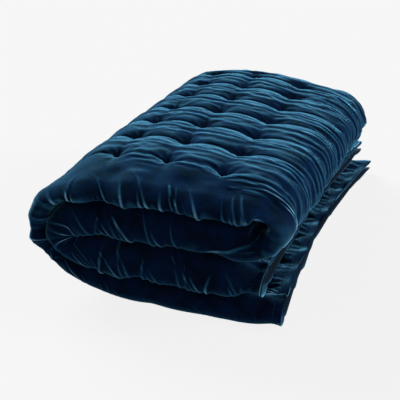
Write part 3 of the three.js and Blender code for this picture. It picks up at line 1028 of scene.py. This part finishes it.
@dataclass
class Sewing:
    """The stitches that show: a tie of thread in each tuft and the topstitch along the hem."""

    quilt: VelvetQuilt
    thread: float = 0.8
    tie_length: float = 6.0
    tie_gap: float = 1.1
    stitch_length: float = 3.4
    stitch_pitch: float = 4.6
    stitch_pitch: float = 4.6
    lift: float = 0.25
    dip: float = 2.0

    def stitch(self, length: float) -> tuple[np.ndarray, np.ndarray]:
        """Models one stitch, a short bead of thread whose ends dip into the cloth.

        Args:
            length: its length, in millimetres.

        Returns:
            Its points, in millimetres, lying along X with Z outwards, and its triangles.
        """
        bpy.ops.object.select_all(action="DESELECT")
        bpy.ops.mesh.primitive_uv_sphere_add(segments=6, ring_count=4, radius=0.5)
        bead = bpy.context.object
        bpy.ops.object.mode_set(mode="EDIT")
        bpy.ops.mesh.quads_convert_to_tris()
        bpy.ops.transform.rotate(value=math.pi / 2, orient_axis="Y", center_override=(0.0, 0.0, 0.0))
        bpy.ops.transform.resize(value=(length, self.thread, self.thread), center_override=(0.0, 0.0, 0.0))
        bpy.ops.object.mode_set(mode="OBJECT")
        points = np.array([corner.co for corner in bead.data.vertices])
        triangles = np.array(sorted(list(face.vertices) for face in bead.data.polygons))
        points[:, 2] -= self.dip * self.thread * (points[:, 0] / length) ** 2
        bpy.data.meshes.remove(bead.data)
        return points, triangles

    def sew(self, name: str, bead: tuple[np.ndarray, np.ndarray], frames: np.ndarray) -> bpy.types.Object:
        """Copies a stitch to each of its places.

        Args:
            name: the piece's name.
            bead: one stitch's points and triangles.
            frames: for each place, its middle, its run, the direction beside it and the one outwards.

        Returns:
            The piece.
        """
        points, triangles = bead
        placed = frames[:, None, 0] + np.einsum("pk,nkc->npc", points, frames[:, 1:])
        placed[..., 2] = np.maximum(placed[..., 2], 0.0)
        offsets = len(points) * np.arange(len(frames))[:, None, None]
        return mesh_object(name, placed.reshape(-1, 3), [(triangles[None] + offsets).reshape(-1, 3)])

    def frames(self, places: np.ndarray, runs: np.ndarray, outwards: np.ndarray) -> np.ndarray:
        """Returns the middle and the three unit directions of each stitch."""
        runs = runs / np.linalg.norm(runs, axis=1, keepdims=True)
        beside = np.cross(outwards, runs)
        beside /= np.linalg.norm(beside, axis=1, keepdims=True)
        outwards = np.cross(runs, beside)
        return np.stack([places + self.lift * outwards, runs, beside, outwards], axis=1)

    def ties(self) -> bpy.types.Object:
        """Sews a pair of threads into each tuft."""
        quilt = self.quilt
        columns = quilt.strip.columns
        outward = normals(quilt.skin)
        frames = []
        for tuft in quilt.strip.tufts:
            ring = int(np.abs(columns["along"][:, 0] - tuft).argmin())
            for row in range(quilt.rows):
                depth = quilt.first_row + row * quilt.row_pitch
                for column in np.nonzero(np.diff(np.sign(quilt.skin_depth[ring] - depth)))[0]:
                    place = quilt.skin[ring, column]
                    run = quilt.skin[ring + 2, column] - quilt.skin[ring - 2, column]
                    frame = self.frames(place[None], run[None], outward[ring, column][None])[0]
                    for side in (-1, 1):
                        moved = frame.copy()
                        moved[0] += side * self.tie_gap * frame[2]
                        frames.append(moved)
        return self.sew("tuft_ties", self.stitch(self.tie_length), np.array(frames))

    def topstitch(self) -> bpy.types.Object:
        """Sews the line of stitches along the hem, on both faces."""
        quilt = self.quilt
        outward = normals(quilt.skin)
        rings = len(quilt.skin)
        to_end = quilt.strip.columns["to_end"][:, 0]
        inset = int(np.searchsorted(to_end[: rings // 2], quilt.stitch_line))
        upper = int(np.searchsorted(quilt.depth - quilt.skin_depth[0], quilt.stitch_line))
        lower = int(np.nonzero(quilt.depth - quilt.skin_depth[0] >= quilt.stitch_line)[0][-1])
        lines = [
            (slice(inset, rings - inset), upper),
            (slice(inset, rings - inset), lower),
            (inset, slice(upper, lower)),
            (rings - 1 - inset, slice(upper, lower)),
        ]
        frames = []
        for line in lines:
            path, out = quilt.skin[line], outward[line]
            gone = travelled(np.linalg.norm(np.diff(path, axis=0), axis=1))
            stops = np.arange(self.stitch_pitch, gone[-1] - self.stitch_pitch, self.stitch_pitch)
            at, ahead, facing = (
                np.stack([np.interp(where, gone, values[:, k]) for k in range(3)], axis=1)
                for where, values in ((stops, path), (stops + 1.0, path), (stops, out))
            )
            frames.append(self.frames(at, ahead - at, facing))
        return self.sew("hem_topstitch", self.stitch(self.stitch_length), np.concatenate(frames))


@dataclass(frozen=True)
class PolyesterThread:
    """Spun polyester sewing thread, dyed to match: a faint satin line against the velvet."""

    name: str = "Spun polyester sewing thread"
    colour: str = "#0d2f47"
    ply_pitch: float = 0.5236
    ply_relief: float = 0.2

    def material(self) -> bpy.types.Material:
        """Makes the thread's material; a wave texture has 20 / (2 pi) bands a unit at a scale of 1."""
        material = bpy.data.materials.new(self.name)
        tree = blank_nodes(material)
        place = add_node(tree, "ShaderNodeTexCoord").outputs["Object"]
        scale = 2 * math.pi / (20 * self.ply_pitch * MM)
        slant = {"bands_direction": "DIAGONAL"}
        ply = add_node(tree, "ShaderNodeTexWave", slant, Vector=place, Scale=scale)
        relief = self.ply_relief * MM
        twist = add_node(tree, "ShaderNodeBump", Height=ply.outputs["Fac"], Strength=0.4, Distance=relief)
        shader = add_node(
            tree,
            "ShaderNodeBsdfPrincipled",
            Base_Color=linear(self.colour),
            Roughness=0.6,
            Specular_IOR_Level=0.1,
            Normal=twist.outputs["Normal"],
        )
        add_node(tree, "ShaderNodeOutputMaterial", Surface=shader.outputs["BSDF"])
        return material


@dataclass(frozen=True)
class WovenCotton:
    """Plain-woven cotton, piece-dyed, on the quilt's back: matt, so the gaps of the fold stay dark."""

    name: str = "Plain-woven cotton, piece-dyed"
    warp: str = "#0a2132"
    weft: str = "#051420"
    thread_pitch: float = 0.9

    def material(self) -> bpy.types.Material:
        """Makes the cotton's material; its threads are drawn at twice their real size, to show."""
        material = bpy.data.materials.new(self.name)
        tree = blank_nodes(material)
        place = add_node(tree, "ShaderNodeTexCoord").outputs["Object"]
        pitch = self.thread_pitch * MM
        colours = {"Color1": linear(self.warp), "Color2": linear(self.weft)}
        weave = add_node(tree, "ShaderNodeTexChecker", Vector=place, Scale=1 / pitch, **colours)
        relief = {"Strength": 0.3, "Distance": pitch / 4}
        raised = add_node(tree, "ShaderNodeBump", Height=weave.outputs["Fac"], **relief)
        shader = add_node(
            tree,
            "ShaderNodeBsdfPrincipled",
            Base_Color=weave.outputs["Color"],
            Roughness=0.95,
            Normal=raised.outputs["Normal"],
            Specular_IOR_Level=0.1,
        )
        add_node(tree, "ShaderNodeOutputMaterial", Surface=shader.outputs["BSDF"])
        return material


@dataclass(frozen=True)
class CottonVelvet:
    """Cotton velvet, cut pile: nearly black seen head on, and a bright teal sheen at a grazing angle."""

    name: str = "Cotton velvet, cut pile"
    # Colour stops by the bend of the skin: a painted shade, near black, in the grooves, the velvet's own
    # deep navy where it is even, and a painted highlight, pale teal, on the ridges.
    painted_shading_stops: tuple[tuple[float, str], ...] = (
        (0.3, "#010309"),
        (0.45, "#060f1e"),
        (0.57, "#060f1e"),
        (0.8, "#22526e"),
        (1.0, "#6d9cb6"),
    )
    sheen: str = "#579bbd"
    stroked: str = "#071c3c"
    stroke_size: float = 26.0
    stroke_share: float = 0.7
    stroke_span: Span = (0.35, 0.65)
    pile_size: float = 1.6
    pile_strength: float = 0.35

    def material(self) -> bpy.types.Material:
        """Makes the velvet's material: its colour goes by the bend of the skin, a painted shade near black
        in the grooves and a painted highlight on the ridges.

        The pile's own grain is drawn at several times its real size, to show.

        Returns:
            The material.
        """
        material = bpy.data.materials.new(self.name)
        tree = blank_nodes(material)
        # The bend of the skin picks the colour: painted shade in the grooves, painted highlight on the
        # ridges.
        painted_shading = add_node(tree, "ShaderNodeAttribute", {"attribute_name": "painted_shading"})
        ramp = add_node(tree, "ShaderNodeValToRGB", Fac=painted_shading.outputs["Fac"])
        stops = ramp.color_ramp.elements
        for stop, (position, colour) in zip(stops, (self.painted_shading_stops[0], self.painted_shading_stops[-1])):
            stop.position, stop.color = position, linear(colour)
        for position, colour in self.painted_shading_stops[1:-1]:
            stops.new(position).color = linear(colour)
        place = add_node(tree, "ShaderNodeTexCoord").outputs["Object"]
        scale = 1 / (self.stroke_size * MM)
        stroke = add_node(tree, "ShaderNodeTexNoise", Vector=place, Scale=scale, Detail=3.0, Roughness=0.6)
        brushed = add_node(
            tree,
            "ShaderNodeMapRange",
            Value=stroke.outputs["Fac"],
            From_Min=self.stroke_span[0],
            From_Max=self.stroke_span[1],
            To_Min=0.0,
            To_Max=self.stroke_share,
        )
        mixed = add_node(
            tree,
            "ShaderNodeMix",
            {"data_type": "RGBA", "blend_type": "MIX"},
            in_0=brushed.outputs["Result"],
            in_6=ramp.outputs["Color"],
            in_7=linear(self.stroked),
        )
        grain = self.pile_size * MM
        pile = add_node(tree, "ShaderNodeTexNoise", Vector=place, Scale=1 / grain, Detail=2.0)
        relief = {"Strength": self.pile_strength, "Distance": grain}
        nap = add_node(tree, "ShaderNodeBump", Height=pile.outputs["Fac"], **relief)
        shader = add_node(
            tree,
            "ShaderNodeBsdfPrincipled",
            Base_Color=mixed.outputs[2],
            Roughness=0.9,
            Normal=nap.outputs["Normal"],
            Specular_IOR_Level=0.0,
            Sheen_Weight=1.0,
            Sheen_Roughness=0.32,
            Sheen_Tint=linear(self.sheen),
        )
        add_node(tree, "ShaderNodeOutputMaterial", Surface=shader.outputs["BSDF"])
        return material


@dataclass
class Studio:
    """The plain floor, the soft lights and the camera, in metres and degrees."""

    paper: str = "#f6f6f6"
    paper_shade: str = "#b6b6b6"
    floor_reach: float = 30.0
    shadow_share: float = 0.08
    bounce: float = 0.6
    fill: float = 0.4
    suns: tuple[tuple[str, tuple[float, float, float], float, float], ...] = (
        ("key", (-1.3, 0.95, 0.8), 35.0, 8.6),
        ("rim", (1.0, 0.35, 0.35), 25.0, 4.6),
    )
    camera_place: tuple[float, float, float] = (0.3457, -1.2822, 0.5912)
    azimuth: float = 17.3486
    elevation: float = 22.4876
    roll: float = 0.7224
    focal_pixels: float = 786.33
    frame_pixels: float = 400.0
    sensor: float = 36.0

    def floor(self) -> bpy.types.Object:
        """Lays the pale floor."""
        corners = [(-1, -1, 0), (1, -1, 0), (1, 1, 0), (-1, 1, 0)]
        points = np.array(corners) * self.floor_reach / MM
        piece = mesh_object("floor", points, [np.array([[0, 1, 2, 3]])])
        material = bpy.data.materials.new("Matt studio paper")
        tree = blank_nodes(material)
        seen = add_node(tree, "ShaderNodeLightPath").outputs["Is Camera Ray"]
        bounce = add_node(tree, "ShaderNodeMapRange", Value=seen, To_Min=self.bounce, To_Max=1.0).outputs[0]
        glow = add_node(tree, "ShaderNodeEmission", Color=linear(self.paper), Strength=bounce).outputs[0]
        matt = add_node(tree, "ShaderNodeBsdfDiffuse", Color=linear(self.paper_shade)).outputs[0]
        both = add_node(tree, "ShaderNodeMixShader", in_0=self.shadow_share, in_1=glow, in_2=matt)
        add_node(tree, "ShaderNodeOutputMaterial", Surface=both.outputs[0])
        piece.data.materials.append(material)
        return piece

    def sun(self, name: str, towards: tuple[float, float, float], spread: float, power: float) -> None:
        """Adds an even soft light.

        Args:
            name: the light's name.
            towards: the direction from the quilt to the light.
            spread: how wide it looks from the quilt, in degrees.
            power: its strength.
        """
        lamp = bpy.data.lights.new(name, "SUN")
        lamp.angle = math.radians(spread)
        lamp.energy = power
        piece = new_object(name, lamp)
        piece.rotation_euler = (-Vector(towards)).to_track_quat("-Z", "Y").to_euler()

    def lights(self) -> None:
        """Hangs the lights and sets the pale surroundings."""
        for sun in self.suns:
            self.sun(*sun)
        world = bpy.data.worlds.new("studio")
        tree = blank_nodes(world)
        seen = add_node(tree, "ShaderNodeLightPath").outputs["Is Camera Ray"]
        fill, backdrop = (
            add_node(tree, "ShaderNodeBackground", Color=linear(self.paper), Strength=strength).outputs[0]
            for strength in (self.fill, 1.0)
        )
        both = add_node(tree, "ShaderNodeMixShader", in_0=seen, in_1=fill, in_2=backdrop)
        add_node(tree, "ShaderNodeOutputWorld", Surface=both.outputs[0])
        bpy.context.scene.world = world
        bpy.context.scene.view_settings.view_transform = "Standard"

    def camera(self) -> bpy.types.Object:
        """Sets the camera at the photograph's angle."""
        data = bpy.data.cameras.new("camera")
        data.sensor_width = self.sensor
        data.lens = self.focal_pixels / self.frame_pixels * self.sensor
        azimuth, elevation, roll = (math.radians(v) for v in (self.azimuth, self.elevation, self.roll))
        level = math.cos(elevation)
        ahead = Vector((-math.sin(azimuth) * level, math.cos(azimuth) * level, -math.sin(elevation)))
        across = ahead.cross(Vector((0.0, 0.0, 1.0))).normalized()
        upward = across.cross(ahead)
        turned = across * math.cos(roll) + upward * math.sin(roll)
        upward = upward * math.cos(roll) - across * math.sin(roll)
        matrix = Matrix((turned, upward, -ahead)).transposed().to_4x4()
        matrix.translation = self.camera_place
        piece = new_object("camera", data)
        piece.matrix_world = matrix
        bpy.context.scene.camera = piece
        return piece


def main() -> None:
    """Builds the pieces in order, dresses them and hands them to the frame."""
    logging.basicConfig(level=logging.INFO, format="%(name)s: %(message)s")
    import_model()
    studio = Studio()
    studio.camera()
    studio.lights()
    studio.floor()
    body = VelvetQuilt()
    quilt = body.build()
    for cloth in (CottonVelvet(), WovenCotton()):
        quilt.data.materials.append(cloth.material())
    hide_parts("quilt")
    sewing = Sewing(body)
    thread = PolyesterThread().material()
    ties, topstitch = sewing.ties(), sewing.topstitch()
    for piece in (ties, topstitch):
        piece.data.materials.append(thread)
    for piece in (quilt, ties, topstitch):
        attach(piece, "root")
        LOG.info("%s: %d faces", piece.name, len(piece.data.polygons))


if __name__ == "__main__":
    main()
